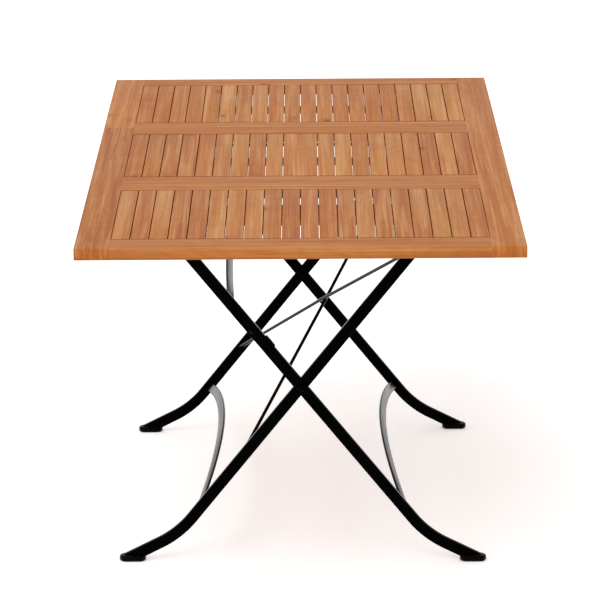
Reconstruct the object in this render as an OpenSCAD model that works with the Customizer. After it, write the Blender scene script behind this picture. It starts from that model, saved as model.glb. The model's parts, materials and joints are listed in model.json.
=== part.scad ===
// Folding picnic table: a slatted wooden top on two crossed steel frames.
// X runs across the table, Y along it and Z up. The origin is on the floor under the table's centre.

/* [Top] */
// Width of the top, across the crossed legs
top_w = 850; // [800:10:900]
// Length of the top
top_l = 1500; // [1400:10:1600]
// Height of the upper face above the floor
top_h = 745; // [735:1:755]
// Thickness of the outer wooden frame
frame_t = 23; // [21:1:26]
// Width of each long stile
stile_w = 66; // [60:1:72]
// Width of each end rail
end_w = 67; // [60:1:74]
// Width of each inner cross rail
cross_w = 112; // [90:1:118]
// Number of slats in a full row
slat_n = 20; // [18:2:22]
// Gap between neighbouring slats
slat_gap = 1.3; // [1:0.1:2]
// Thickness of a slat
slat_t = 11; // [10:1:12]

/* [Legs] */
// Width of a leg bar, seen from the end of the table
leg_w = 23; // [21:1:24]
// Thickness of a leg bar
leg_t = 10; // [8:1:10]
// Lean of a straight leg, up from the floor
lean = 51.27; // [50:0.1:52]
// Height of the crossing bolt above the floor
pivot_z = 369.6; // [368:0.1:371]
// Distance of the inner leg's middle plane from the table's centre
leg_y = 417; // [410:1:425]
// Radius of the bend above each foot
bend_r = 200; // [190:5:210]
// Angle through which the leg bends outwards
bend_a = 24.5; // [23:0.5:27]

/* [Bars and rods] */
// Width of a curved stretcher in its frame's plane
bar_w = 20; // [16:1:22]
// Thickness of a curved stretcher
bar_t = 5; // [4:0.5:6]
// Diameter of a brace rod
brace_d = 7; // [6:0.5:8]
// Diameter of the two rods at the top of the frames
rod_d = 10; // [8:1:10]
// Height of the rod centres below the top's underside
rod_drop = 28.5; // [27.5:0.5:29.5]

/* [Hidden] */
$fn = 48;

// Wooden top
under_z = top_h - frame_t;
field_w = top_w - 2 * stile_w;
row_l = (top_l - 2 * end_w - 2 * cross_w) / 3;
row_y = row_l + cross_w;
cross_y = (row_l + cross_w) / 2;
cross_t = 19;
pitch = field_w / slat_n;
slat_w = pitch - slat_gap;
tongue_l = 6;
tongue_t = 5;
groove_l = 7;
groove_t = 5.4;
tenon_l = 25;
tenon_t = 9;
tenon_edge = 10;
mortise_gap = 0.2;
batten_w = 34;
batten_t = 10;
cut = 1;
screw_d = 4;
screw_hole = 0.1;
screw_tip_d = 5;
screw_head_d = 8;
screw_head_h = 2;
batten_bite = 5;
bracket_bite = 12;
bite_spare = 1;
wood = "peru";
metal = "dimgray";

// Steel frames
outer_gap = 1;
outer_y = leg_y + leg_t + outer_gap;
inner_face = leg_y - leg_t / 2;
outer_face = outer_y - leg_t / 2;
rod_z = under_z - rod_drop;
arm = (rod_z - pivot_z) / sin(lean);
rod_x = arm * cos(lean);
straight_l = 357;
toe_l = 95;
closed_gap = 5.5;
collar_wall = 3.5;
collar_l = 6;
collar_gap = 0.5;
slide_stop = rod_x - 2 * arm * sin(closed_gap / 2);
bolt_d = 8;
bolt_head_d = 17;
bolt_head_flat = 11;
bolt_head_h = 4.5;
bolt_spare = 8;
bolt_grip = 0.05;
nut_d = 15;
nut_h = 6.5;
washer_d = 18;
running_fit = 0.08;
slot_fit = 0.3;
smooth_arc = 360;

// Under-rails and their brackets
rail_y = 341;
rail_t = 8;
rail_h = 40;
rail_end = top_w / 2 - 30;
bracket_l = 30;
bracket_inset = 2;
bracket_x = rail_end - bracket_l / 2 - bracket_inset;
bracket_w = 25;
bracket_t = 3;
bracket_h = 32;
rivet_d = 5;
rivet_head_d = 9;
rivet_head_h = 2;

// Stretchers and brace
low_s = -337;
low_rise = 61;
high_s = 222;
high_rise = 16;
brace_low = -220;
brace_high = 355;
brace_gap = 2;
rod_clearance = 0.1;
brace_side = brace_d / 2 + rod_clearance;

// Feet
foot_l = 54;
foot_w = 27;
foot_h = 13;
foot_x = 345;
foot_floor = 4;
foot_wall = 6;

// Latch
latch_s = 154;
latch_bolt_d = 6;
latch_t = 3;
latch_gap = 0.1;
latch_fit = 0.12;
latch_boss_d = 14;
latch_arm_l = 38;
latch_arm_w = 10;
latch_arm_low = -7;
latch_tab_s = 101;
latch_tab_l = 27;
latch_tab_w = 15;
latch_tab_low = -15;
latch_lip_t = 3;
latch_lip_reach = 7.5;
latch_head_d = 12;
latch_head_flat = 8;
latch_head_h = 2.5;
latch_head_gap = 0.3;

// ---- Wooden top ----

module stadium(length, width) {
  translate([-(length - width) / 2, 0]) circle(d = width);
  translate([(length - width) / 2, 0]) circle(d = width);
  square([length - width, width], center = true);
}

module tenons(x, y, thickness, width) {
  for (side = [-1, 1])
    translate([side * (x + tenon_l / 2), y, top_h - thickness / 2])
      cube([tenon_l, width, tenon_t], center = true);
}

module mortises(x, grow) {
  for (end = [-1, 1])
    translate([x, end * (top_l - end_w) / 2, top_h - frame_t / 2])
      cube([tenon_l * 2 + grow, end_w - 2 * tenon_edge + grow, tenon_t + grow], center = true);
  for (end = [-1, 1])
    translate([x, end * cross_y, top_h - cross_t / 2])
      cube([tenon_l * 2 + grow, cross_w - 2 * tenon_edge + grow, tenon_t + grow], center = true);
}

module stile(side) {
  color(wood)
    difference() {
      translate([side * (top_w - stile_w) / 2, 0, top_h - frame_t / 2])
        cube([stile_w, top_l, frame_t], center = true);
      mortises(side * field_w / 2, mortise_gap);
      for (end = [-1, 1])
        translate([side * bracket_x, end * bracket_screw_y(), under_z - cut])
          cylinder(d = screw_d + screw_hole, h = bracket_bite + bite_spare + 2 * cut);
    }
}

function bracket_screw_y() = rail_y - rail_t / 2 - bracket_w / 2 - bracket_inset;

module groove(y) {
  translate([0, y, top_h - slat_t / 2])
    cube([field_w + cut, groove_l * 2, groove_t], center = true);
}

module end_rail(end) {
  color(wood) {
    difference() {
      translate([0, end * (top_l - end_w) / 2, top_h - frame_t / 2])
        cube([field_w, end_w, frame_t], center = true);
      groove(end * (top_l / 2 - end_w));
    }
    tenons(field_w / 2, end * (top_l - end_w) / 2, frame_t, end_w - 2 * tenon_edge);
  }
}

module cross_rail(end) {
  color(wood) {
    difference() {
      translate([0, end * cross_y, top_h - cross_t / 2])
        cube([field_w, cross_w, cross_t], center = true);
      groove(end * (cross_y - cross_w / 2));
      groove(end * (cross_y + cross_w / 2));
    }
    tenons(field_w / 2, end * cross_y, cross_t, cross_w - 2 * tenon_edge);
  }
}

function slat_x(i) = -field_w / 2 + pitch * (i + 0.5);

module slat(x, y, width) {
  difference() {
    union() {
      translate([x, y, top_h - slat_t / 2]) cube([width, row_l, slat_t], center = true);
      translate([x, y, top_h - slat_t / 2]) cube([width, row_l + 2 * tongue_l, tongue_t], center = true);
    }
    translate([x, y, top_h - slat_t - cut])
      cylinder(d = screw_d + screw_hole, h = batten_bite + bite_spare + cut);
  }
}

// The wide centre board takes the place of two slats in the middle row
function slat_there(row, i) = row != 0 || abs(slat_x(i)) > pitch;

module slat_row(row) {
  color(wood)
    for (i = [0 : slat_n - 1])
      if (slat_there(row, i))
        slat(slat_x(i), row * row_y, slat_w);
}

module centre_board() {
  color(wood) slat(0, 0, 2 * pitch - slat_gap);
}

module batten(row) {
  color(wood)
    difference() {
      translate([0, row * row_y, top_h - slat_t - batten_t / 2])
        cube([field_w, batten_w, batten_t], center = true);
      for (i = [0 : slat_n - 1])
        if (slat_there(row, i))
          batten_hole(slat_x(i), row * row_y);
      if (row == 0)
        batten_hole(0, 0);
    }
}

module batten_hole(x, y) {
  translate([x, y, top_h - slat_t - batten_t - cut])
    cylinder(d = screw_d + screw_hole, h = batten_t + 2 * cut);
}

module wood_screw(x, y, z, length) {
  translate([x, y, z]) cylinder(d = screw_d, h = length);
  translate([x, y, z - screw_head_h]) cylinder(d1 = screw_tip_d, d2 = screw_head_d, h = screw_head_h);
}

module batten_screws() {
  color(metal)
    for (row = [-1, 0, 1], i = [0 : slat_n - 1])
      if (slat_there(row, i))
        wood_screw(slat_x(i), row * row_y, top_h - slat_t - batten_t, batten_t + batten_bite);
  color(metal) wood_screw(0, 0, top_h - slat_t - batten_t, batten_t + batten_bite);
}

// ---- Under-rails ----

module across(x, y, z) {
  translate([x, y, z]) rotate([90, 0, 0]) children();
}

module rail_hole(x, y, z, diameter) {
  across(x, y, z) cylinder(d = diameter, h = rail_t + 2 * cut, center = true);
}

module under_rail(end) {
  y = end * rail_y;
  slot_d = rod_d + 2 * slot_fit;
  color(metal)
    difference() {
      translate([0, y, under_z - rail_h / 2]) cube([2 * rail_end, rail_t, rail_h], center = true);
      rail_hole(rod_x, y, rod_z, rod_d + 2 * running_fit);
      rail_hole(-rod_x, y, rod_z, slot_d);
      rail_hole(slide_stop, y, rod_z, slot_d);
      translate([(slide_stop - rod_x) / 2, y, rod_z])
        cube([slide_stop + rod_x, rail_t + 2 * cut, slot_d], center = true);
      for (side = [-1, 1])
        rail_hole(side * bracket_x, y, under_z - bracket_h / 2, rivet_d + screw_hole);
    }
}

module rail_bracket(side, end) {
  plate_y = rail_y - rail_t / 2;
  difference() {
    union() {
      translate([side * bracket_x, end * (plate_y - bracket_t / 2), under_z - bracket_h / 2])
        cube([bracket_l, bracket_t, bracket_h], center = true);
      translate([side * bracket_x, end * (plate_y - bracket_w / 2), under_z - bracket_t / 2])
        cube([bracket_l, bracket_w, bracket_t], center = true);
    }
    across(side * bracket_x, end * plate_y, under_z - bracket_h / 2)
      cylinder(d = rivet_d + screw_hole, h = 4 * bracket_t, center = true);
    translate([side * bracket_x, end * bracket_screw_y(), under_z - bracket_t - cut])
      cylinder(d = screw_d + screw_hole, h = bracket_t + 2 * cut);
  }
}

module rail_brackets() {
  color(metal)
    for (side = [-1, 1], end = [-1, 1])
      rail_bracket(side, end);
}

module bracket_screws() {
  color(metal)
    for (side = [-1, 1], end = [-1, 1])
      wood_screw(side * bracket_x, end * bracket_screw_y(), under_z - bracket_t, bracket_t + bracket_bite);
}

module bracket_rivets() {
  stack = rail_t + bracket_t;
  color(metal)
    for (side = [-1, 1], end = [-1, 1])
      across(side * bracket_x, end * (rail_y - bracket_t / 2), under_z - bracket_h / 2) {
        cylinder(d = rivet_d, h = stack, center = true);
        for (face = [-1, 1])
          translate([0, 0, face * (stack + rivet_head_h) / 2])
            cylinder(d = rivet_head_d, h = rivet_head_h, center = true);
      }
}

// ---- Leg frames ----

// Flat outline of a leg that falls to the left, with its crossing at the origin.
// The toe is cut off level and upright inside its foot.
module leg_outline() {
  toe_x = foot_x + foot_l / 2 - foot_wall;
  intersection() {
    leg_band();
    translate([-toe_x, foot_floor - pivot_z])
      square([toe_x + rod_x + leg_w, rod_z - foot_floor + leg_w]);
  }
}

// The bar before the toe is cut off: straight, bent, and straight again
module leg_band() {
  rotate(lean) translate([-straight_l, -leg_w / 2]) square([straight_l + arm, leg_w]);
  rotate(lean) translate([arm, 0]) circle(d = leg_w);
  translate([-straight_l * cos(lean), -straight_l * sin(lean)])
    rotate(lean - 90) translate([-bend_r, 0]) bend_band();
  translate([toe_start_x(), toe_start_z()])
    rotate(lean - bend_a) translate([-toe_l, -leg_w / 2]) square([toe_l, leg_w]);
}

function bend_centre_x() = -straight_l * cos(lean) - bend_r * sin(lean);
function bend_centre_z() = -straight_l * sin(lean) + bend_r * cos(lean);
function toe_start_x() = bend_centre_x() + bend_r * sin(lean - bend_a);
function toe_start_z() = bend_centre_z() - bend_r * cos(lean - bend_a);

// Arc of the bend, starting on the X axis and turning clockwise
module bend_band() {
  reach = 2 * bend_r;
  intersection() {
    difference() {
      circle(r = bend_r + leg_w / 2, $fn = smooth_arc);
      circle(r = bend_r - leg_w / 2, $fn = smooth_arc);
    }
    polygon([[0, 0], [reach, 0], [reach * cos(bend_a), -reach * sin(bend_a)]]);
  }
}

// A leg whose middle plane is y, falling to the left (-1) or to the right (1)
module leg_solid(y, side) {
  translate([0, y + leg_t / 2, pivot_z])
    rotate([90, 0, 0])
      linear_extrude(leg_t)
        scale_x(-side) leg_outline();
}

module scale_x(way) {
  if (way < 0) mirror([1, 0]) children();
  else children();
}

module pivot_hole(y, fit) {
  across(0, y, pivot_z) cylinder(d = bolt_d + 2 * fit, h = leg_t + 2 * cut, center = true);
}

module inner_leg(end) {
  color(metal)
    difference() {
      leg_solid(end * leg_y, -1);
      pivot_hole(end * leg_y, bolt_grip);
    }
}

module outer_leg(end) {
  color(metal)
    difference() {
      leg_solid(end * outer_y, 1);
      pivot_hole(end * outer_y, running_fit);
      if (end < 0)
        across(-latch_s * cos(lean), end * outer_y, pivot_z + latch_s * sin(lean))
          cylinder(d = latch_bolt_d + screw_hole, h = leg_t + 2 * cut, center = true);
    }
}

// Turns a flat drawing (X along the table, Y up the leg) into a leg frame's own plane
module in_plane(side) {
  translate([0, 0, pivot_z])
    rotate([0, side < 0 ? 180 - lean : lean, 0])
      rotate([0, 0, 90])
        children();
}

function arc_r(half, rise) = (half * half + rise * rise) / (2 * rise);

module stretcher(side, half, s, rise) {
  radius = arc_r(half, rise);
  color(metal)
    in_plane(side)
      linear_extrude(bar_t, center = true)
        intersection() {
          translate([0, s + rise - radius])
            difference() {
              circle(r = radius + bar_w / 2, $fn = smooth_arc);
              circle(r = radius - bar_w / 2, $fn = smooth_arc);
            }
          translate([-half, s - bar_w]) square([2 * half, rise + 2 * bar_w]);
        }
}

// One straight brace rod, in a plane just beside the frame's own
module brace_rod(way) {
  run = 2 * (inner_face - brace_gap);
  rise = brace_high - brace_low;
  color(metal)
    in_plane(-1)
      translate([0, (brace_low + brace_high) / 2, way * brace_side])
        rotate([0, 0, way * atan2(rise, run)])
          rotate([0, 90, 0])
            cylinder(d = brace_d, h = norm([run, rise]), center = true);
}

module top_rod(x, half) {
  color(metal) across(x, 0, rod_z) cylinder(d = rod_d, h = 2 * half, center = true);
}

module collars(x) {
  color(metal)
    for (end = [-1, 1])
      across(x, end * (rail_y + (rail_t + collar_l) / 2 + collar_gap), rod_z)
        difference() {
          cylinder(d = rod_d + 2 * collar_wall, h = collar_l, center = true);
          cylinder(d = rod_d, h = collar_l + 2 * cut, center = true);
        }
}

module foot(y, side) {
  color("black")
    difference() {
      translate([side * foot_x, y, 0]) linear_extrude(foot_h) stadium(foot_l, foot_w);
      leg_solid(y, side);
    }
}

module pivot_bolt(end) {
  shank = leg_t * 2 + outer_gap + bolt_spare;
  color(metal) {
    across(0, end * (outer_y + leg_t / 2 - shank / 2), pivot_z)
      cylinder(d = bolt_d, h = shank, center = true);
    across(0, end * (outer_y + leg_t / 2), pivot_z)
      rotate([end < 0 ? 0 : 180, 0, 0])
        cylinder(d1 = bolt_head_d, d2 = bolt_head_flat, h = bolt_head_h);
  }
}

module pivot_nut(end) {
  color(metal)
    across(0, end * (inner_face - nut_h / 2), pivot_z)
      difference() {
        cylinder(d = nut_d, h = nut_h, center = true, $fn = 6);
        cylinder(d = bolt_d, h = nut_h + 2 * cut, center = true);
      }
}

module pivot_washer(end) {
  color(metal)
    across(0, end * (leg_y + leg_t / 2 + outer_gap / 2), pivot_z)
      difference() {
        cylinder(d = washer_d, h = outer_gap, center = true);
        cylinder(d = bolt_d + 2 * bolt_grip, h = outer_gap + cut, center = true);
      }
}

// Places a drawing on the outer face of the front outer leg, X up the leg from the crossing
module on_outer_leg() {
  translate([0, -outer_y - leg_t / 2, pivot_z]) rotate([90, 0, 0]) rotate(180 - lean) children();
}

module latch_lever() {
  color(metal)
    on_outer_leg()
      difference() {
        union() {
          translate([0, 0, latch_gap]) linear_extrude(latch_t) latch_plate();
          translate([latch_tab_s, latch_tab_low, -latch_lip_reach])
            cube([latch_tab_l, latch_lip_t, latch_lip_reach + latch_gap + latch_t]);
        }
        translate([latch_s, 0, -cut]) cylinder(d = latch_bolt_d + latch_fit, h = latch_t + 3 * cut);
      }
}

module latch_plate() {
  translate([latch_s, 0]) circle(d = latch_boss_d);
  translate([latch_s - latch_arm_l, latch_arm_low]) square([latch_arm_l, latch_arm_w]);
  translate([latch_tab_s, latch_tab_low]) square([latch_tab_l, latch_tab_w]);
}

module latch_bolt() {
  color(metal)
    on_outer_leg()
      translate([latch_s, 0, 0]) {
        translate([0, 0, -leg_t]) cylinder(d = latch_bolt_d, h = leg_t + latch_t + latch_head_gap);
        translate([0, 0, latch_t + latch_head_gap])
          cylinder(d1 = latch_head_d, d2 = latch_head_flat, h = latch_head_h);
      }
}

stile(-1);  // stile_left
stile(1);  // stile_right
end_rail(-1);  // end_rail_front
end_rail(1);  // end_rail_rear
cross_rail(-1);  // cross_rail_front
cross_rail(1);  // cross_rail_rear
slat_row(-1);  // slats_front
slat_row(0);  // slats_middle
slat_row(1);  // slats_rear
centre_board();
batten(-1);  // batten_front
batten(0);  // batten_middle
batten(1);  // batten_rear
batten_screws();
under_rail(-1);  // under_rail_front
under_rail(1);  // under_rail_rear
rail_brackets();
bracket_screws();
bracket_rivets();
inner_leg(-1);  // inner_leg_front
inner_leg(1);  // inner_leg_rear
stretcher(-1, inner_face, low_s, low_rise);  // inner_stretcher
brace_rod(1);  // brace_rod_rising
brace_rod(-1);  // brace_rod_falling
top_rod(rod_x, inner_face);  // hinge_rod
collars(rod_x);  // hinge_collars
foot(-leg_y, -1);  // inner_foot_front
foot(leg_y, -1);  // inner_foot_rear
pivot_bolt(-1);  // pivot_bolt_front
pivot_bolt(1);  // pivot_bolt_rear
pivot_nut(-1);  // pivot_nut_front
pivot_nut(1);  // pivot_nut_rear
pivot_washer(-1);  // pivot_washer_front
pivot_washer(1);  // pivot_washer_rear
outer_leg(-1);  // outer_leg_front
outer_leg(1);  // outer_leg_rear
stretcher(1, outer_face, low_s, low_rise);  // outer_stretcher_low
stretcher(1, outer_face, high_s, high_rise);  // outer_stretcher_high
top_rod(-rod_x, outer_face);  // slide_rod
collars(-rod_x);  // slide_collars
foot(-outer_y, 1);  // outer_foot_front
foot(outer_y, 1);  // outer_foot_rear
latch_lever();
latch_bolt();
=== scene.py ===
"""Folding picnic table: slatted hardwood top on crossed black steel legs.

Every piece is placed from the CAD frame. Metres, +Z up, X across the table, Y along it.
"""
import json
import math
import random

import bpy
import bmesh
from mathutils import Matrix, Vector


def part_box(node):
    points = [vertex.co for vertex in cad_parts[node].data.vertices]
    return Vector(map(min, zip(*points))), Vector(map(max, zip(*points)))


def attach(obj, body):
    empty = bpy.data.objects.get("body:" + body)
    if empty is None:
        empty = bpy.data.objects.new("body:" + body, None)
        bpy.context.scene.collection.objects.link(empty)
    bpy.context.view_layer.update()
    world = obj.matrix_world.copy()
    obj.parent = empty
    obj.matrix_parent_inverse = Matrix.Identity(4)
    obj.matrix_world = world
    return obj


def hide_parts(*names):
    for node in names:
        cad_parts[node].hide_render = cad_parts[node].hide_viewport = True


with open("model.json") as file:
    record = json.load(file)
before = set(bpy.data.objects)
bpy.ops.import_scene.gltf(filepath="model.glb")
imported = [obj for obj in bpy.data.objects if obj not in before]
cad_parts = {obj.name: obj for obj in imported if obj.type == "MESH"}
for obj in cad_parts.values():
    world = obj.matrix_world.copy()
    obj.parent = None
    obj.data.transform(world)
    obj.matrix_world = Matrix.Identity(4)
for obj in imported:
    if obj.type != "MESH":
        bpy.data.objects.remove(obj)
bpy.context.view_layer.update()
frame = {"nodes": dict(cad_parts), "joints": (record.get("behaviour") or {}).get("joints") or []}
nodes = frame["nodes"]
joints = {j["name"]: j for j in frame["joints"]}
rng = random.Random(7)

# ---- Measures, from the CAD frame ----

MM = 0.001
PIVOT = Vector(joints["leg_fold"]["pos_m"])
HINGE = Vector(joints["frame_swing"]["pos_m"])
ARM = HINGE - PIVOT
LEAN = math.atan2(ARM.z, ARM.x)
LEG_W, LEG_EDGE = 23 * MM, 1.0 * MM
BEND_R = 200 * MM
BEND_A = math.radians(24.5)
STRAIGHT = 357 * MM
TOE_X = 366 * MM
TOE_Z = 4 * MM
TOP_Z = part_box("stile_left")[1].z


# ---- Camera ----

def add_camera():
    """A long lens in front of the table, a little above it and almost level with the middle."""
    place = Vector((0.010, -6.6506, 2.3345))
    pitch, yaw, roll = (math.radians(a) for a in (15.999, -0.111, -0.396))
    forward = Vector((math.sin(yaw) * math.cos(pitch), math.cos(yaw) * math.cos(pitch), -math.sin(pitch)))
    level = Vector((math.cos(yaw), -math.sin(yaw), 0))
    upright = level.cross(forward)
    right = math.cos(roll) * level + math.sin(roll) * upright
    up = right.cross(forward)
    data = bpy.data.cameras.new("camera")
    data.sensor_width = 36
    data.lens = 196.0
    camera = bpy.data.objects.new("camera", data)
    bpy.context.scene.collection.objects.link(camera)
    turn = Matrix((right, up, -forward)).transposed()
    camera.matrix_world = Matrix.Translation(place) @ turn.to_4x4()
    bpy.context.scene.camera = camera


# ---- Shader helpers ----

class Graph:
    """Short calls for building one node material."""

    def __init__(self, name):
        self.material = bpy.data.materials.new(name)
        self.material.use_nodes = True
        self.tree = self.material.node_tree
        self.shader = self.tree.nodes["Principled BSDF"]

    def node(self, kind, **values):
        made = self.tree.nodes.new(kind)
        for key, value in values.items():
            setattr(made, key, value)
        return made

    def link(self, source, target):
        self.tree.links.new(source, target)

    def math(self, operation, a, b=None, c=None, clamp=False):
        made = self.node("ShaderNodeMath", operation=operation, use_clamp=clamp)
        for socket, value in zip(made.inputs, (a, b, c)):
            self.feed(socket, value)
        return made.outputs[0]

    def feed(self, socket, value):
        if value is None:
            return
        if isinstance(value, bpy.types.NodeSocket):
            self.link(value, socket)
        else:
            socket.default_value = value

    def noise(self, vector, scale, detail=3.0, roughness=0.5, distortion=0.0):
        made = self.node("ShaderNodeTexNoise")
        self.feed(made.inputs["Vector"], vector)
        made.inputs["Scale"].default_value = scale
        made.inputs["Detail"].default_value = detail
        made.inputs["Roughness"].default_value = roughness
        made.inputs["Distortion"].default_value = distortion
        return made.outputs["Fac"]

    def ramp(self, fac, stops):
        made = self.node("ShaderNodeValToRGB")
        self.feed(made.inputs[0], fac)
        points = made.color_ramp.elements
        while len(points) < len(stops):
            points.new(0.5)
        for point, (place, colour) in zip(points, stops):
            point.position = place
            point.color = (*colour, 1)
        return made.outputs[0]

    def mix(self, fac, a, b, blend="MIX"):
        made = self.node("ShaderNodeMix", data_type="RGBA", blend_type=blend)
        self.feed(made.inputs[0], fac)
        for socket, value in ((made.inputs[6], a), (made.inputs[7], b)):
            self.feed(socket, (*value, 1) if isinstance(value, tuple) else value)
        return made.outputs[2]

    def spread(self, value, low, high, to_low=0.0, to_high=1.0):
        made = self.node("ShaderNodeMapRange")
        self.feed(made.inputs["Value"], value)
        for name, number in (("From Min", low), ("From Max", high), ("To Min", to_low), ("To Max", to_high)):
            made.inputs[name].default_value = number
        return made.outputs[0]

    def bump(self, height, strength, distance):
        made = self.node("ShaderNodeBump")
        made.inputs["Strength"].default_value = strength
        made.inputs["Distance"].default_value = distance
        self.link(height, made.inputs["Height"])
        self.link(made.outputs[0], self.shader.inputs["Normal"])

    def place(self):
        return self.node("ShaderNodeTexCoord").outputs["Object"]


# ---- Materials ----

def srgb(red, green, blue):
    """A colour as it looks on screen, turned into linear light."""
    levels = (level / 255 for level in (red, green, blue))
    return tuple(v / 12.92 if v <= 0.04045 else ((v + 0.055) / 1.055) ** 2.4 for v in levels)


TAN, HONEY, AMBER = srgb(204, 148, 100), srgb(189, 127, 77), srgb(177, 110, 61)
ROSE, UMBER = srgb(170, 98, 62), srgb(88, 42, 22)


def wood_material(name, along, through):
    """Oiled hardwood with its grain along one axis; through is how fast the figure changes with depth."""
    g = Graph(name)
    offset = g.node("ShaderNodeAttribute", attribute_name="board_offset").outputs["Vector"]
    tint = g.node("ShaderNodeAttribute", attribute_name="board_tone_and_shade").outputs["Color"]
    heart_share = g.node("ShaderNodeAttribute", attribute_name="board_heart").outputs["Fac"]
    moved = g.node("ShaderNodeVectorMath", operation="ADD")
    g.link(g.place(), moved.inputs[0])
    g.link(offset, moved.inputs[1])

    def stretched(across, lengthwise):
        """Coordinates that change quickly across the grain and slowly along it."""
        made = g.node("ShaderNodeVectorMath", operation="MULTIPLY")
        g.link(moved.outputs[0], made.inputs[0])
        scale = [across, across, across * through]
        scale[along] = lengthwise
        made.inputs[1].default_value = scale
        return made.outputs[0]

    # Long streaks a finger wide, and fine lines within them
    broad = g.noise(stretched(48, 1.7), 1.0, 3, 0.5, 0.7)
    fine = g.noise(stretched(260, 3.2), 1.0, 3, 0.6, 0.3)
    streak = g.math("ADD", g.math("MULTIPLY", broad, 0.55), g.math("MULTIPLY", fine, 0.45))
    colour = g.ramp(g.spread(streak, 0.36, 0.64), [(0.0, TAN), (0.5, HONEY), (1.0, AMBER)])
    line = g.spread(g.noise(stretched(150, 1.4), 1.0, 2, 0.5, 0.2), 0.58, 0.68)
    colour = g.mix(g.math("MULTIPLY", line, 0.40), colour, ROSE)
    # Growth rings, cut into arcs where the swirl bends them
    swirl = g.noise(stretched(7, 3.4), 1.0, 2, 0.5, 0.4)
    phase = g.math("MULTIPLY", swirl, 60.0)
    ring = g.math("MULTIPLY_ADD", g.math("SINE", phase), 0.5, 0.5)
    ring_line = g.math("MULTIPLY", g.math("POWER", ring, 3.0), g.spread(broad, 0.35, 0.6, 0.15, 0.6))
    colour = g.mix(g.math("MULTIPLY", ring_line, 0.55), colour, ROSE)
    # Pink heartwood in soft bands
    heart = g.noise(stretched(92, 1.8), 1.0, 3, 0.6, 0.8)
    heart_band = g.math("MULTIPLY", g.spread(heart, 0.50, 0.59), heart_share)
    colour = g.mix(heart_band, colour, ROSE)
    # Small knots: a dark eye in a soft ring, in few places
    knots = g.node("ShaderNodeTexVoronoi", feature="F1", distance="EUCLIDEAN")
    g.link(stretched(16, 8.5), knots.inputs["Vector"])
    knots.inputs["Scale"].default_value = 1.0
    cell = g.node("ShaderNodeSeparateColor")
    g.link(knots.outputs["Color"], cell.inputs[0])
    chosen = g.spread(cell.outputs[0], 0.68, 0.72)
    eye = g.math("MULTIPLY", g.spread(knots.outputs["Distance"], 0.03, 0.14, 1.0, 0.0), chosen)
    halo = g.math("MULTIPLY", g.spread(knots.outputs["Distance"], 0.08, 0.34, 1.0, 0.0), chosen)
    colour = g.mix(g.math("MULTIPLY", halo, 0.35), colour, ROSE)
    colour = g.mix(g.math("MULTIPLY", eye, 0.62), colour, UMBER)
    # Fibres and pores
    fibre = g.noise(stretched(640, 13), 1.0, 3, 0.6)
    pores = g.spread(g.noise(stretched(900, 30), 1.0, 1, 0.5), 0.64, 0.80)
    fibre_tint = g.ramp(fibre, [(0.25, (0.86, 0.83, 0.79)), (0.75, (1.10, 1.11, 1.13))])
    colour = g.mix(0.55, colour, fibre_tint, "MULTIPLY")
    colour = g.mix(g.math("MULTIPLY", pores, 0.30), colour, UMBER)
    # Painted shade: the edges are a little darker and redder towards the underside
    height = g.node("ShaderNodeSeparateXYZ")
    g.link(g.place(), height.inputs[0])
    depth = g.spread(height.outputs[2], TOP_Z - 22 * MM, TOP_Z - 3 * MM, 1.0, 0.0)
    colour = g.mix(depth, colour, (0.86, 0.79, 0.66), "MULTIPLY")
    # Each board's own tone, times the painted shade of the face it lies on
    colour = g.mix(1.0, colour, tint, "MULTIPLY")
    g.link(colour, g.shader.inputs["Base Color"])
    # The faces inside the gaps, painted dark as shade, are also kept from shining
    shade = g.node("ShaderNodeSeparateXYZ")
    g.link(tint, shade.inputs[0])
    g.link(g.spread(shade.outputs[2], 0.05, 0.4, 0.0, 0.5), g.shader.inputs["Specular IOR Level"])
    g.link(g.math("MULTIPLY_ADD", fibre, 0.16, 0.50), g.shader.inputs["Roughness"])
    g.shader.inputs["IOR"].default_value = 1.16
    g.bump(g.math("SUBTRACT", fibre, g.math("MULTIPLY", pores, 0.8)), 0.25, 0.0004)
    return g.material


def paint_material():
    """Smooth black gloss paint on steel: black face on, pale where light grazes it."""
    g = Graph("black_paint")
    peel = g.noise(g.place(), 900, 2, 0.5)
    dust = g.noise(g.place(), 26, 4, 0.6)
    colour = g.ramp(dust, [(0.35, (0.0003, 0.0003, 0.0003)), (0.75, (0.0008, 0.0008, 0.0009))])
    g.link(colour, g.shader.inputs["Base Color"])
    g.link(g.spread(dust, 0.3, 0.8, 0.12, 0.18), g.shader.inputs["Roughness"])
    g.shader.inputs["IOR"].default_value = 1.16
    facing = g.node("ShaderNodeLayerWeight").outputs["Facing"]
    g.link(g.spread(facing, 0.25, 0.55, 0.08, 0.5), g.shader.inputs["Specular IOR Level"])
    g.bump(peel, 0.10, 0.0002)
    return g.material


def rubber_material():
    """Black moulded rubber, slightly shiny and a little scuffed."""
    g = Graph("foot_cap")
    speck = g.noise(g.place(), 1400, 3, 0.6)
    smear = g.noise(g.place(), 60, 3, 0.5)
    colour = g.ramp(smear, [(0.3, (0.0005, 0.0005, 0.0005)), (0.8, (0.0012, 0.0012, 0.0012))])
    g.link(colour, g.shader.inputs["Base Color"])
    g.link(g.spread(smear, 0.3, 0.8, 0.18, 0.30), g.shader.inputs["Roughness"])
    g.shader.inputs["IOR"].default_value = 1.30
    facing = g.node("ShaderNodeLayerWeight").outputs["Facing"]
    g.link(g.spread(facing, 0.15, 0.5, 0.08, 0.5), g.shader.inputs["Specular IOR Level"])
    g.bump(speck, 0.15, 0.0002)
    return g.material


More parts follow.
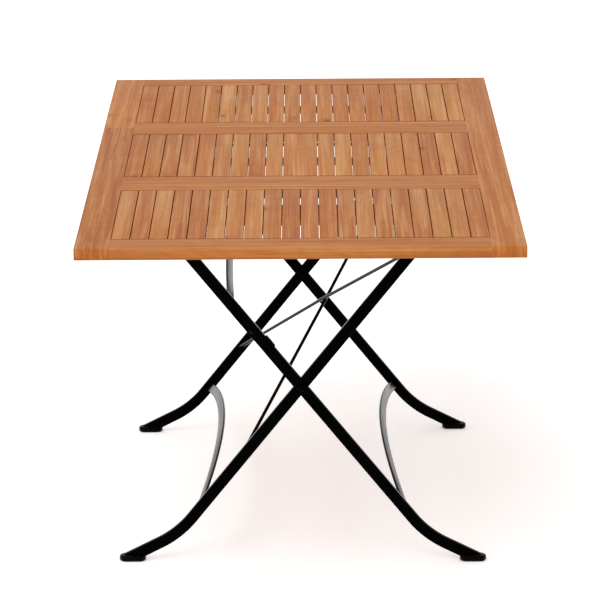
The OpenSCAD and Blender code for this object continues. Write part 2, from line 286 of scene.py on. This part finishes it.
def zinc_material():
    """Dull zinc plating on the screws and rivets under the top."""
    g = Graph("zinc_hardware")
    spangle = g.noise(g.place(), 700, 3, 0.6)
    colour = g.ramp(spangle, [(0.3, (0.36, 0.36, 0.37)), (0.7, (0.55, 0.55, 0.56))])
    g.link(colour, g.shader.inputs["Base Color"])
    g.shader.inputs["Metallic"].default_value = 1.0
    g.link(g.spread(spangle, 0.3, 0.7, 0.32, 0.5), g.shader.inputs["Roughness"])
    g.bump(spangle, 0.12, 0.0002)
    return g.material


def floor_material():
    """Plain pale studio floor, lit a little from within so that shadows stay light."""
    g = Graph("floor")
    cloud = g.noise(g.place(), 1.5, 2, 0.5)
    colour = g.ramp(cloud, [(0.3, (0.93, 0.93, 0.93)), (0.7, (0.95, 0.95, 0.95))])
    g.link(colour, g.shader.inputs["Base Color"])
    g.shader.inputs["Roughness"].default_value = 0.9
    g.shader.inputs["IOR"].default_value = 1.05
    g.shader.inputs["Emission Color"].default_value = (1, 1, 1, 1)
    g.shader.inputs["Emission Strength"].default_value = 0.34
    return g.material


ALONG_X, ALONG_Y = wood_material("wood_along_x", 0, 1.0), wood_material("wood_along_y", 1, 0.15)
PAINT = paint_material()
RUBBER = rubber_material()
ZINC = zinc_material()


# ---- Mesh helpers ----

# Edges sharper than this keep a crease in the shading
CREASE = math.radians(35)


def add_piece(name, bm, body, material, replaced=()):
    """Turns a bmesh into a piece that rides a body, and hides the CAD nodes it replaces."""
    mesh = bpy.data.meshes.new(name)
    bmesh.ops.recalc_face_normals(bm, faces=bm.faces)
    bm.to_mesh(mesh)
    bm.free()
    piece = bpy.data.objects.new(name, mesh)
    bpy.context.scene.collection.objects.link(piece)
    mesh.materials.append(material)
    mesh.shade_smooth()
    mesh.set_sharp_from_angle(angle=CREASE)
    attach(piece, body)
    if replaced:
        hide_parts(*replaced)
    return piece


# Tints of a board's faces, as shares of its face colour: painted shade by the way a face turns. Sides and
# undersides are painted a little darker, the faces inside the gaps are painted dark as deep shade, and ends
# are darker both for their end grain and for painted shade.
FACE_UP = (1.0, 1.0, 1.0)
FACE_SIDE_SHADE = (0.95, 0.88, 0.68)
FACE_END_GRAIN_AND_SHADE = (0.92, 0.76, 0.52)
FACE_GAP_SHADE = (0.25, 0.08, 0.02)
FACE_UNDER_SHADE = (0.92, 0.86, 0.78)
SIDES = {"-x": Vector((-1, 0, 0)), "+x": Vector((1, 0, 0)), "-y": Vector((0, -1, 0)), "+y": Vector((0, 1, 0))}


def mark_board(piece, tone, heart, sides):
    """Gives a board its place in the grain, its share of heartwood and a tint of painted shade for each face.
    """
    mesh = piece.data
    offset = [rng.uniform(-40, 40) for _ in range(3)]
    places = mesh.attributes.new("board_offset", "FLOAT_VECTOR", "POINT")
    places.data.foreach_set("vector", offset * len(mesh.vertices))
    shares = mesh.attributes.new("board_heart", "FLOAT", "POINT")
    shares.data.foreach_set("value", [heart] * len(mesh.vertices))
    tints = []
    for face in mesh.polygons:
        # Undersides and the listed sides take their painted shade; the top keeps its full colour
        tint = FACE_UP
        if face.normal.z < -0.7:
            tint = FACE_UNDER_SHADE
        for name, side_tint in sides.items():
            if face.normal.dot(SIDES[name]) > 0.6:
                tint = side_tint
        tints += [a * b for a, b in zip(tone, tint)]
    layer = mesh.attributes.new("board_tone_and_shade", "FLOAT_VECTOR", "FACE")
    layer.data.foreach_set("vector", tints)


def board(name, low, high, edge, body, along, look, sides, replaced=(), tongue=0.0):
    """A plank with eased edges; look is its tone and heart, and a tongue runs on at both Y ends."""
    bm = bmesh.new()
    size = high - low
    for v in bmesh.ops.create_cube(bm, size=1)["verts"]:
        v.co = Vector(low[i] + size[i] * (v.co[i] + 0.5) for i in range(3))
    bmesh.ops.bevel(bm, geom=bm.edges[:], offset=edge, segments=3, profile=0.5, affect="EDGES")
    if tongue:
        inset = Vector((edge, -tongue, (size.z - TONGUE_T) / 2))
        inner_low, inner_high = low + inset, high - inset
        for v in bmesh.ops.create_cube(bm, size=1)["verts"]:
            v.co = Vector(inner_low[i] + (inner_high[i] - inner_low[i]) * (v.co[i] + 0.5) for i in range(3))
    piece = add_piece(name, bm, body, ALONG_X if along == "x" else ALONG_Y, replaced)
    mark_board(piece, *look, sides)
    return piece


def inset_loop(points, amount):
    """A closed outline moved inwards along its corner normals; points run anticlockwise."""
    moved = []
    count = len(points)
    for i, here in enumerate(points):
        before = (here - points[i - 1]).normalized()
        after = (points[(i + 1) % count] - here).normalized()
        inward = Vector((-(before.y + after.y), before.x + after.x)).normalized()
        lean = max(0.4, inward.dot(Vector((-after.y, after.x))))
        moved.append(here + inward * amount / lean)
    return moved


def skin_rings(bm, rings):
    """Joins rings of equal length into a closed skin and caps both ends."""
    count = len(rings[0])
    for low, high in zip(rings, rings[1:]):
        for i in range(count):
            j = (i + 1) % count
            bm.faces.new((low[i], low[j], high[j], high[i]))
    bm.faces.new(list(reversed(rings[0])))
    bm.faces.new(rings[-1])


def outline_bm(points, depth, edge, place, steps=4, lower_edge=None):
    """A flat outline pulled through a depth, with rounded rims; place maps (u, v, w) to space."""
    lower_edge = edge if lower_edge is None else lower_edge
    layers = []
    for k in range(steps + 1):
        a = math.pi / 2 * k / steps
        layers.append((lower_edge * (1 - math.sin(a)), lower_edge * (1 - math.cos(a))))
    for k in range(steps + 1):
        a = math.pi / 2 * k / steps
        layers.append((edge * (1 - math.cos(a)), depth - edge * (1 - math.sin(a))))
    bm = bmesh.new()
    rings = []
    for inset, w in layers:
        loop = inset_loop(points, inset)
        rings.append([bm.verts.new(place(p.x, p.y, w)) for p in loop])
    skin_rings(bm, rings)
    return bm


def tube_bm(points, radius, sides=16):
    """A round rod along a path."""
    bm = bmesh.new()
    rings = []
    last = len(points) - 1
    side = None
    for i, here in enumerate(points):
        ahead = (points[min(i + 1, last)] - points[max(i - 1, 0)]).normalized()
        if side is None:
            side = ahead.orthogonal().normalized()
        else:
            side = (side - ahead * side.dot(ahead)).normalized()
        across = ahead.cross(side)
        ring = []
        for k in range(sides):
            a = 2 * math.pi * k / sides
            ring.append(bm.verts.new(here + radius * (math.cos(a) * side + math.sin(a) * across)))
        rings.append(ring)
    skin_rings(bm, rings)
    return bm


def turned_bm(profile, centre, way, sides=40):
    """A turned piece about Y; profile is (distance along way, radius) from one end to the other."""
    bm = bmesh.new()
    rings = []
    for along, radius in profile:
        ring = []
        for k in range(sides):
            a = 2 * math.pi * k / sides
            spoke = Vector((radius * math.cos(a), way * along, radius * math.sin(a)))
            ring.append(bm.verts.new(centre + spoke))
        rings.append(ring)
    skin_rings(bm, rings)
    return bm


# ---- Wooden top ----

SLAT_COUNT = 20
SLAT_GAP = 1.3 * MM
TONGUE = 6 * MM
TONGUE_T = 5 * MM
SEAM = 1.6 * MM
SPLICE_Y = 0.254
FRAME_EDGE, BATTEN_EDGE, SLAT_EDGE = 0.9 * MM, 1.0 * MM, 0.7 * MM


def look(bright, warm, heart):
    """Tone and share of heartwood; warm above zero is redder, below it yellower."""
    return (bright * (1 + 0.15 * warm), bright * (1 - 0.22 * warm), bright * (1 - 0.30 * warm)), heart


# t tan, h honey, o orange, p pink-streaked, r red
LOOKS = {"t": (1.10, -0.15, 0.10), "h": (1.03, 0.0, 0.25), "o": (0.99, 0.12, 0.20), "p": (1.01, 0.03, 0.75),
         "r": (0.95, 0.16, 0.90)}
ROWS = {"slats_front": "hptppttthrooptpppthp", "slats_middle": "ppppottot##ototthptp",
        "slats_rear": "oohhhtotohohooootttt"}


def varied(letter):
    """One slat's look: its letter's own, changed a little at random."""
    bright, warm, heart = LOOKS[letter]
    bright *= rng.uniform(0.97, 1.03)
    warm += rng.uniform(-0.05, 0.05)
    heart *= rng.uniform(0.8, 1.2)
    return look(bright, warm, heart)


def build_stiles():
    """The left stile is spliced from two lengths, the rear one paler; the right one is whole."""
    low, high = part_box("stile_left")
    sides = {"-x": FACE_SIDE_SHADE, "+x": FACE_GAP_SHADE, "-y": FACE_END_GRAIN_AND_SHADE, "+y": FACE_END_GRAIN_AND_SHADE}
    board("stile_left_fore", low, Vector((high.x, SPLICE_Y, high.z)), FRAME_EDGE, "top", "y",
          look(0.96, 0.06, 0.80), sides, ("stile_left",))
    board("stile_left_aft", Vector((low.x, SPLICE_Y, low.z)), high, FRAME_EDGE, "top", "y",
          look(1.03, 0.06, 0.10), sides)
    low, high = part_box("stile_right")
    sides = {"-x": FACE_GAP_SHADE, "+x": FACE_SIDE_SHADE, "-y": FACE_END_GRAIN_AND_SHADE, "+y": FACE_END_GRAIN_AND_SHADE}
    board("stile_right_board", low, high, FRAME_EDGE, "top", "y",
          look(1.045, -0.03, 0.50), sides, ("stile_right",))


# The painted shade tints of each rail's front and rear faces
RAILS = {
    "end_rail_front": (FACE_SIDE_SHADE, FACE_GAP_SHADE), "end_rail_rear": (FACE_GAP_SHADE, FACE_SIDE_SHADE),
    "cross_rail_front": (FACE_GAP_SHADE, FACE_GAP_SHADE), "cross_rail_rear": (FACE_GAP_SHADE, FACE_GAP_SHADE),
}


def field_ends():
    """The X of the stiles' inner edges, which the battens run between."""
    return (corner.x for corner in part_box("batten_middle"))


def build_rails():
    field_low, field_high = field_ends()
    for name, (front, rear) in RAILS.items():
        low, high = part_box(name)
        low.x, high.x = field_low - FRAME_EDGE, field_high + FRAME_EDGE
        board(name + "_board", low, high, FRAME_EDGE, "top", "x",
              look(1.0, 0.04, 0.35), {"-y": front, "+y": rear}, (name,))
    for name in ("batten_front", "batten_middle", "batten_rear"):
        low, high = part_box(name)
        board(name + "_board", low, high, BATTEN_EDGE, "top", "x",
              look(0.85, 0.1, 0.3), {"-y": FACE_SIDE_SHADE, "+y": FACE_SIDE_SHADE}, (name,))


def build_slats():
    """Three rows of slats; # in a row leaves room for the centre board."""
    field_low, field_high = field_ends()
    pitch = (field_high - field_low) / SLAT_COUNT
    # Every side of a slat faces a gap and is painted dark as shade
    sides = dict.fromkeys(SIDES, FACE_GAP_SHADE)
    shorter = TONGUE + SEAM
    for row, letters in ROWS.items():
        low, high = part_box(row)
        for i, letter in enumerate(letters):
            if letter == "#":
                continue
            left = field_low + pitch * i + SLAT_GAP / 2
            start = Vector((left, low.y + shorter, low.z))
            end = Vector((left + pitch - SLAT_GAP, high.y - shorter, high.z))
            board(f"{row}_{i + 1:02d}", start, end, SLAT_EDGE, "top", "y",
                  varied(letter), sides, (row,) if i == 0 else (), shorter)
    low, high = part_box("centre_board")
    ends = Vector((0, shorter, 0))
    board("centre_board_plank", low + ends, high - ends, SLAT_EDGE, "top", "y",
          look(1.10, -0.08, 0.2), sides, ("centre_board",), shorter)


# ---- Leg frames ----

def leg_centre_line():
    """Points and headings from the top eye down to the end of the bend, for a leg falling to the left."""
    down = Vector((-math.cos(LEAN), -math.sin(LEAN)))
    outward = Vector((-math.sin(LEAN), math.cos(LEAN)))
    arm = math.hypot(ARM.x, ARM.z)
    path = [(-down * arm, LEAN)]
    start = down * STRAIGHT
    path.append((start * 0.5 - down * arm * 0.5, LEAN))
    centre = start + outward * BEND_R
    steps = 14
    for k in range(steps + 1):
        a = LEAN - BEND_A * k / steps
        path.append((centre + BEND_R * Vector((math.sin(a), -math.cos(a))), a))
    return path


def leg_outline(side):
    """Closed outline, anticlockwise; side is -1 for a leg that falls to the left, 1 for the right."""
    path = leg_centre_line()
    half = LEG_W / 2
    upper, lower = [], []
    for point, a in path:
        outward = Vector((-math.sin(a), math.cos(a)))
        upper.append(point + outward * half)
        lower.append(point - outward * half)
    # The toe runs on at one slope, cut off level just above the floor and upright near the foot's outer end
    slope = math.tan(LEAN - BEND_A)
    sole = TOE_Z - PIVOT.z
    upper.append(Vector((-TOE_X, upper[-1].y - (upper[-1].x + TOE_X) * slope)))
    lower.append(Vector((lower[-1].x - (lower[-1].y - sole) / slope, sole)))
    upper.append(Vector((-TOE_X, sole)))
    eye = path[0][0]
    arc = []
    for k in range(1, 16):
        a = LEAN - math.pi / 2 + math.pi * k / 16
        arc.append(eye + half * Vector((math.cos(a), math.sin(a))))
    points = list(reversed(lower)) + arc + upper
    if side > 0:
        points = [Vector((-p.x, p.y)) for p in reversed(points)]
    return points


def build_legs():
    for end in ("front", "rear"):
        for family, side, body in (("inner", -1, "inner_frame"), ("outer", 1, "outer_frame")):
            node = f"{family}_leg_{end}"
            low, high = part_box(node)

            def place(u, v, w, low=low):
                return Vector((PIVOT.x + u, low.y + w, PIVOT.z + v))

            bm = outline_bm(leg_outline(side), high.y - low.y, LEG_EDGE, place)
            add_piece(node + "_bar", bm, body, PAINT, (node,))


def round_ended(length, width, steps=16):
    """Plan of a foot: a rectangle with half-round ends, anticlockwise."""
    half = (length - width) / 2
    points = []
    for middle, start in ((half, -math.pi / 2), (-half, math.pi / 2)):
        for k in range(steps + 1):
            a = start + math.pi * k / steps
            points.append(Vector((middle + width / 2 * math.cos(a), width / 2 * math.sin(a))))
    return points


CAP_EDGE, SOLE_EDGE = 5.5 * MM, 4.0 * MM


def build_feet():
    for name, body in (("inner_foot_front", "inner_frame"), ("inner_foot_rear", "inner_frame"),
                       ("outer_foot_front", "outer_frame"), ("outer_foot_rear", "outer_frame")):
        low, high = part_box(name)
        middle = (low + high) / 2

        def place(u, v, w, middle=middle, low=low):
            return Vector((middle.x + u, middle.y + v, low.z + w))

        outline = round_ended(high.x - low.x, high.y - low.y)
        bm = outline_bm(outline, high.z - low.z, CAP_EDGE, place, 6, SOLE_EDGE)
        add_piece(name + "_cap", bm, body, RUBBER, (name,))


def frame_axes(side):
    """Up the leg, along the table and square to the leg frame, for the inner (-1) or outer (1) frame."""
    up = Vector((-side * math.cos(LEAN), 0, math.sin(LEAN)))
    along = Vector((0, 1, 0))
    return up, along, along.cross(up)


def stretcher_outline(half, s_end, rise, width, steps=40):
    radius = (half * half + rise * rise) / (2 * rise)
    centre = s_end + rise - radius
    rim = []
    for sign in (-1, 1):
        r = radius + sign * width / 2
        reach = math.asin(half / r)
        arc = [-reach + 2 * reach * k / steps for k in range(steps + 1)]
        rim.append([Vector((r * math.sin(a), centre + r * math.cos(a))) for a in arc])
    return rim[0] + list(reversed(rim[1]))


BAR_T, BAR_W, BAR_EDGE = 5 * MM, 20 * MM, 1.6 * MM
LOW_BAR = (-337 * MM, 61 * MM)
HIGH_BAR = (222 * MM, 16 * MM)


def build_stretchers():
    """Flat bars that arch upwards; each spec gives the ends' place along the leg and the arch's rise."""
    specs = (("inner_stretcher", -1, "inner_frame", LOW_BAR),
             ("outer_stretcher_low", 1, "outer_frame", LOW_BAR),
             ("outer_stretcher_high", 1, "outer_frame", HIGH_BAR))
    for name, side, body, (s_end, rise) in specs:
        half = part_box(name)[1].y
        up, along, square = frame_axes(side)

        def place(u, v, w, up=up, along=along, square=square):
            return PIVOT + along * u + up * v + square * (w - BAR_T / 2)

        bm = outline_bm(stretcher_outline(half, s_end, rise, BAR_W), BAR_T, BAR_EDGE, place)
        add_piece(name + "_bar", bm, body, PAINT, (name,))


BRACE_R, BRACE_GAP = 3.5 * MM, 0.1 * MM
# Places along the leg of a rod's low end, of the crossing and of a rod's high end
BRACE_LOW, BRACE_CROSS, BRACE_HIGH = -221 * MM, 74 * MM, 349 * MM
# How quickly the two straight halves of a rod run into each other at the crossing
BRACE_TURN = 5


def build_brace():
    """Two thin rods side by side, each with a slight bend where they cross."""
    up, along, square = frame_axes(-1)
    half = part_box("brace_rod_rising")[1].y
    for name, way in (("brace_rod_rising", 1), ("brace_rod_falling", -1)):
        points = []
        steps = 32
        for k in range(steps + 1):
            t = -1 + 2 * k / steps
            low_part = BRACE_CROSS + (BRACE_CROSS - BRACE_LOW) * t
            high_part = BRACE_CROSS + (BRACE_HIGH - BRACE_CROSS) * t
            blend = min(1.0, max(0.0, 0.5 + t * BRACE_TURN))
            s = low_part * (1 - blend) + high_part * blend
            beside = way * (BRACE_R + BRACE_GAP)
            points.append(PIVOT + along * (way * t * half) + up * s + square * beside)
        add_piece(name + "_bar", tube_bm(points, BRACE_R), "inner_frame", PAINT, (name,))


# The bolt head's profile in millimetres, as (height above the leg, radius)
DOME = [(0.0, 8.5), (0.8, 8.5), (1.9, 8.1), (2.9, 7.2), (3.7, 5.8), (4.2, 4.0), (4.45, 2.0), (4.5, 0.4)]
SHANK_R, SHANK_EASE = 4.0 * MM, 0.6 * MM


def build_bolts():
    """The crossing bolts, with domed heads."""
    dome_h = DOME[-1][0] * MM
    for name, way in (("pivot_bolt_front", -1), ("pivot_bolt_rear", 1)):
        low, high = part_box(name)
        tip = low.y if way > 0 else high.y
        head = (high.y if way > 0 else low.y) - way * dome_h
        length = abs(head - tip)
        profile = [(0.0, SHANK_R - SHANK_EASE), (SHANK_EASE, SHANK_R), (length, SHANK_R)]
        profile += [(length + a * MM, r * MM) for a, r in DOME]
        bm = turned_bm(profile, Vector((PIVOT.x, tip, PIVOT.z)), way)
        add_piece(name + "_turned", bm, "inner_frame", PAINT, (name,))


# Small steel parts whose sharp edges are eased, with the body each one rides and the size of the easing
EASED = {
    "under_rail_front": ("top", 0.8 * MM), "under_rail_rear": ("top", 0.8 * MM),
    "rail_brackets": ("top", 0.4 * MM),
    "hinge_collars": ("inner_frame", 0.5 * MM), "slide_collars": ("outer_frame", 0.5 * MM),
    "pivot_nut_front": ("inner_frame", 0.5 * MM), "pivot_nut_rear": ("inner_frame", 0.5 * MM),
    "latch_lever": ("latch", 0.5 * MM),
}


def build_eased_steel():
    """New pieces with the CAD solids' own shapes, whose edges are rounded over."""
    for name, (body, amount) in EASED.items():
        bm = bmesh.new()
        bm.from_mesh(nodes[name].data)
        bmesh.ops.remove_doubles(bm, verts=bm.verts[:], dist=0.001 * MM)
        bmesh.ops.dissolve_limit(bm, angle_limit=math.radians(1), verts=bm.verts[:], edges=bm.edges[:])
        sharp = [e for e in bm.edges if len(e.link_faces) == 2 and e.calc_face_angle(0) > math.radians(30)]
        bmesh.ops.bevel(bm, geom=sharp, offset=amount, segments=2, profile=0.5, affect="EDGES",
                        clamp_overlap=True)
        add_piece(name + "_eased", bm, body, PAINT, (name,))


# ---- CAD nodes that stay, with their finish ----

def finish_kept_nodes():
    finishes = {
        "hinge_rod": PAINT, "slide_rod": PAINT, "latch_bolt": PAINT,
        "pivot_washer_front": PAINT, "pivot_washer_rear": PAINT,
        "bracket_screws": ZINC, "bracket_rivets": ZINC, "batten_screws": ZINC,
    }
    for name, material in finishes.items():
        mesh = nodes[name].data
        mesh.materials.clear()
        mesh.materials.append(material)


# ---- Floor and light ----

def add_stage():
    bm = bmesh.new()
    bmesh.ops.create_grid(bm, x_segments=1, y_segments=1, size=60)
    mesh = bpy.data.meshes.new("floor")
    bm.to_mesh(mesh)
    bm.free()
    floor = bpy.data.objects.new("floor", mesh)
    bpy.context.scene.collection.objects.link(floor)
    mesh.materials.append(floor_material())


def add_sun(name, toward, strength, softness):
    """A very soft lamp that shines evenly from one direction."""
    data = bpy.data.lights.new(name, "SUN")
    data.energy = strength
    data.angle = math.radians(softness)
    lamp = bpy.data.objects.new(name, data)
    bpy.context.scene.collection.objects.link(lamp)
    lamp.rotation_euler = Vector(toward).to_track_quat("-Z", "Y").to_euler()


def add_lights():
    """A white room with one soft key from above the left of the camera."""
    world = bpy.data.worlds.new("studio")
    world.use_nodes = True
    tree = world.node_tree
    sky = tree.nodes["Background"]
    sky.inputs[0].default_value = (1.0, 1.0, 1.0, 1)
    # Full white where the backdrop is seen directly, a little less where it lights the table
    seen = tree.nodes.new("ShaderNodeLightPath").outputs["Is Camera Ray"]
    strength = tree.nodes.new("ShaderNodeMapRange")
    tree.links.new(seen, strength.inputs["Value"])
    strength.inputs["To Min"].default_value = 0.78
    strength.inputs["To Max"].default_value = 1.0
    tree.links.new(strength.outputs[0], sky.inputs[1])
    bpy.context.scene.world = world
    add_sun("key", (0.45, 0.55, -1.0), 1.0, 50)
    bpy.context.scene.view_settings.view_transform = "Standard"


add_camera()
build_stiles()
build_rails()
build_slats()
build_legs()
build_feet()
build_stretchers()
build_brace()
build_bolts()
build_eased_steel()
finish_kept_nodes()
add_stage()
add_lights()
